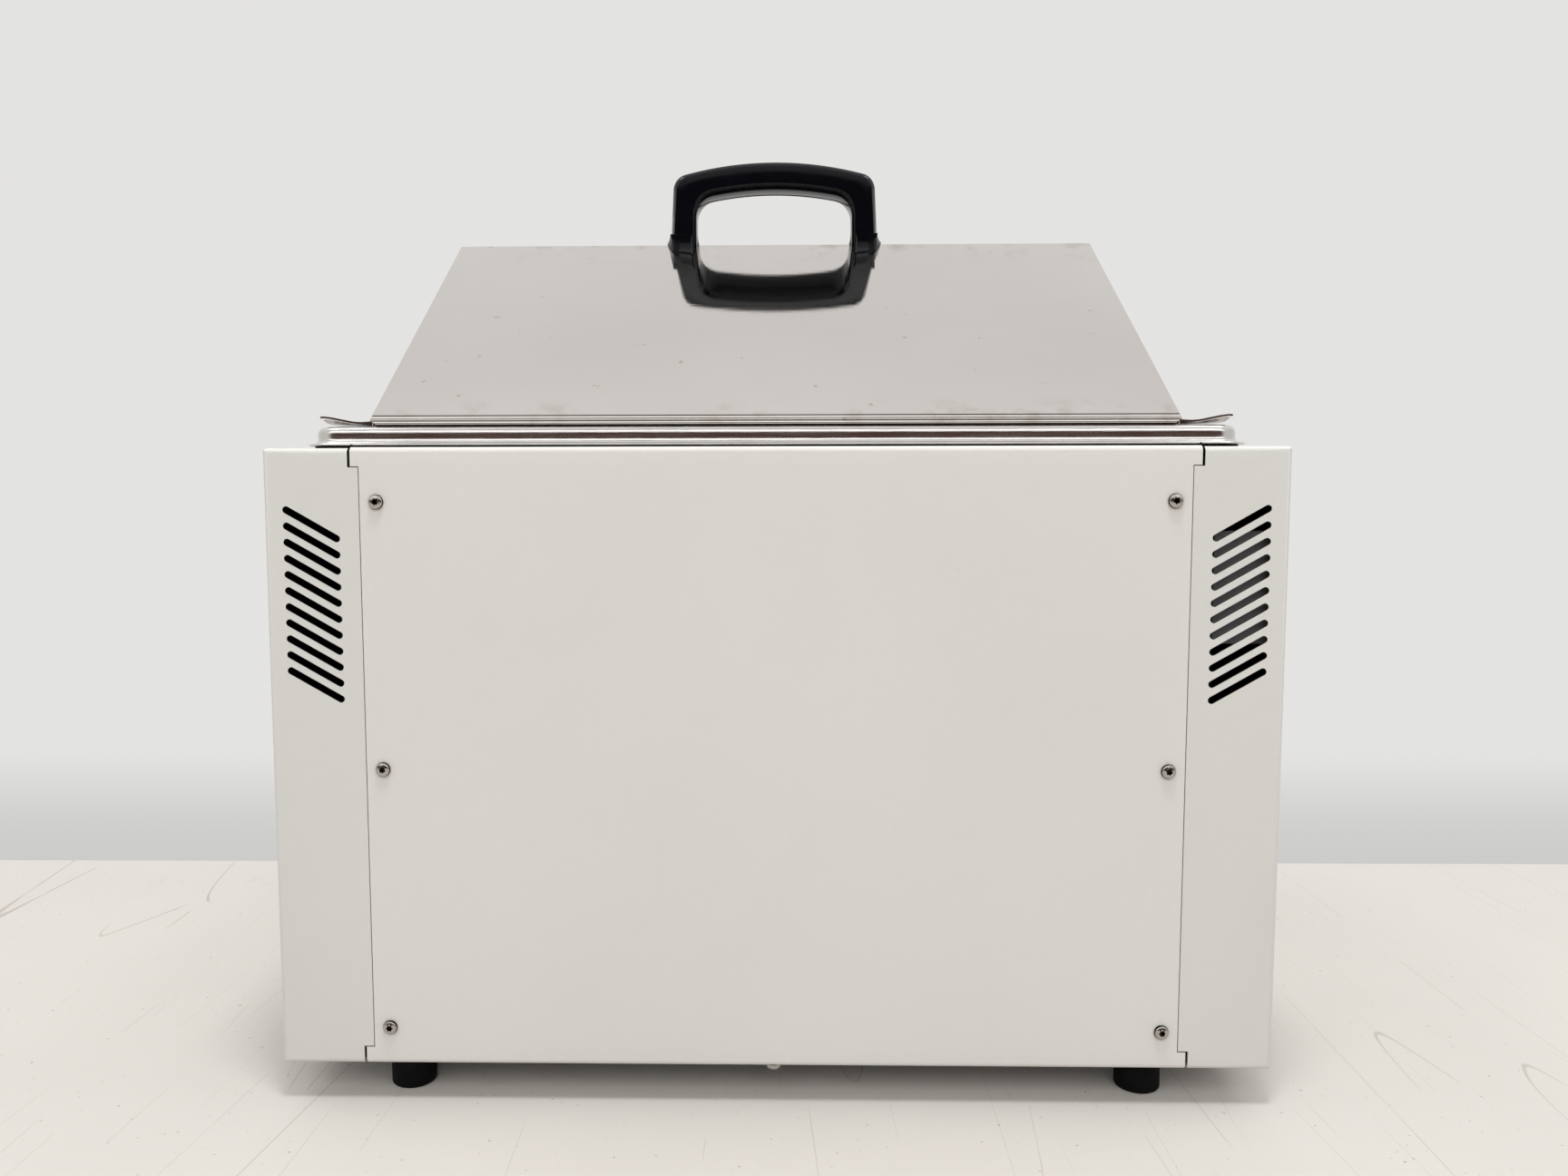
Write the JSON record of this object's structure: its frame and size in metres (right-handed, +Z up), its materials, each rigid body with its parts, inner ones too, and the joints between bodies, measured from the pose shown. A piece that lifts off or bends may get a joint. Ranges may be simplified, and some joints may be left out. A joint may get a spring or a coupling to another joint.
{
  "type": "laboratory water bath",
  "caption": "Bench water bath with a stainless tank in a pale sheet-metal housing, a perforated tray, a gable lid with a bow handle, front controls and a drain cock.",
  "frame": {"origin": "on the surface the feet stand on, below the middle of the whole object's box", "axes": "+X to the right in the picture, +Y from the plain rear to the control front, +Z up"},
  "size_m": [0.543, 0.4574, 0.5578],
  "materials": {
    "zinc_plated_steel": "zinc plated sheet",
    "foot_rubber": "matt",
    "screw_steel": "stainless",
    "panel_paint": "fine powder coat",
    "cover_paint": "fine powder coat",
    "tank_steel": "drawn stainless, satin",
    "lid_steel": "bright rolled stainless",
    "seal_rubber": "matt",
    "mineral_wool": "felted, faced with black glass veil",
    "heater_sheath": "dull",
    "brass": "turned",
    "copper": "drawn copper",
    "black_plastic": "moulded",
    "knob_plastic": "moulded",
    "rocker_plastic": "moulded",
    "board_laminate": "glass-fibre laminate",
    "window_acrylic": "tinted acrylic",
    "label_film": "printed film",
    "key_plastic": "moulded",
    "transformer_steel": "varnished",
    "terminal_plastic": "moulded",
    "sink_aluminium": "extruded, black anodised",
    "fuse_glass": "clear",
    "silicone": "milky",
    "chrome_brass": "plated",
    "lever_plastic": "dipped",
    "handle_plastic": "polished phenolic"
  },
  "bodies": {
    "housing": {"base_plate": "zinc_plated_steel", "feet": "foot_rubber", "foot_screws": "screw_steel", "frame_uprights": "zinc_plated_steel", "top_frame": "zinc_plated_steel", "rear_panel": "panel_paint", "front_panel": "panel_paint", "left_cover": "cover_paint", "right_cover": "cover_paint", "rear_screws": "screw_steel", "front_screws": "screw_steel", "base_screws": "screw_steel", "tank": "tank_steel", "rim_seal": "seal_rubber", "tank_insulation": "mineral_wool", "floor_insulation": "mineral_wool", "heater": "heater_sheath", "heater_glands": "brass", "temperature_probe": "screw_steel", "limiter_bulb": "copper", "probe_glands": "brass", "limiter_body": "black_plastic", "switch_housing": "black_plastic", "control_board": "board_laminate", "board_spacers": "brass", "key_switches": "black_plastic", "display_module": "black_plastic", "display_window": "window_acrylic", "control_label": "label_film", "transformer": "transformer_steel", "terminal_block": "terminal_plastic", "heat_sink": "sink_aluminium", "power_triac": "black_plastic", "mains_inlet": "black_plastic", "inlet_pins": "brass", "drain_outlet": "brass", "drain_hose": "silicone", "drain_cock": "chrome_brass", "cock_nut": "brass"},
    "lid": {"lid_shell": "lid_steel", "lid_handle": "handle_plastic", "handle_saddles": "sink_aluminium", "handle_screws": "screw_steel"},
    "tray": {"perforated_tray": "tank_steel"},
    "set_key": {"key_set": "key_plastic"},
    "up_key": {"key_up": "key_plastic"},
    "down_key": {"key_down": "key_plastic"},
    "limiter": {"limiter_knob": "knob_plastic", "limiter_shaft": "screw_steel"},
    "rocker": {"power_rocker": "rocker_plastic"},
    "fuse_holder": {"fuse_drawer": "black_plastic", "fuses": "fuse_glass"},
    "cock_lever": {"drain_lever": "lever_plastic", "drain_ball": "chrome_brass"}
  },
  "joints": [
    {"name": "lid_lift", "type": "slide", "parent": "housing", "child": "lid", "axis": [0, 0, 1], "range_m": [0, 0.16]},
    {"name": "tray_lift", "type": "slide", "parent": "housing", "child": "tray", "axis": [0, 0, 1], "range_m": [0, 0.14]},
    {"name": "key_set_press", "type": "slide", "parent": "housing", "child": "set_key", "axis": [0, -1, 0], "range_m": [0, 0.0015], "stiffness_N_per_m": 600},
    {"name": "key_up_press", "type": "slide", "parent": "housing", "child": "up_key", "axis": [0, -1, 0], "range_m": [0, 0.0015], "stiffness_N_per_m": 600},
    {"name": "key_down_press", "type": "slide", "parent": "housing", "child": "down_key", "axis": [0, -1, 0], "range_m": [0, 0.0015], "stiffness_N_per_m": 600},
    {"name": "limiter_turn", "type": "hinge", "parent": "housing", "child": "limiter", "pos_m": [-0.1, 0.1837, 0.093], "axis": [0, -1, 0], "range_deg": [0, 270]},
    {"name": "power_rock", "type": "hinge", "parent": "housing", "child": "rocker", "pos_m": [-0.133, 0.1827, 0.093], "axis": [1, 0, 0], "range_deg": [0, 18]},
    {"name": "fuse_drawer_pull", "type": "slide", "parent": "housing", "child": "fuse_holder", "axis": [1, 0, 0], "range_m": [0, 0.024]},
    {"name": "drain_lever_turn", "type": "hinge", "parent": "housing", "child": "cock_lever", "pos_m": [0.17, 0.1972, 0.073], "axis": [0, 0, -1], "range_deg": [0, 90]}
  ]
}
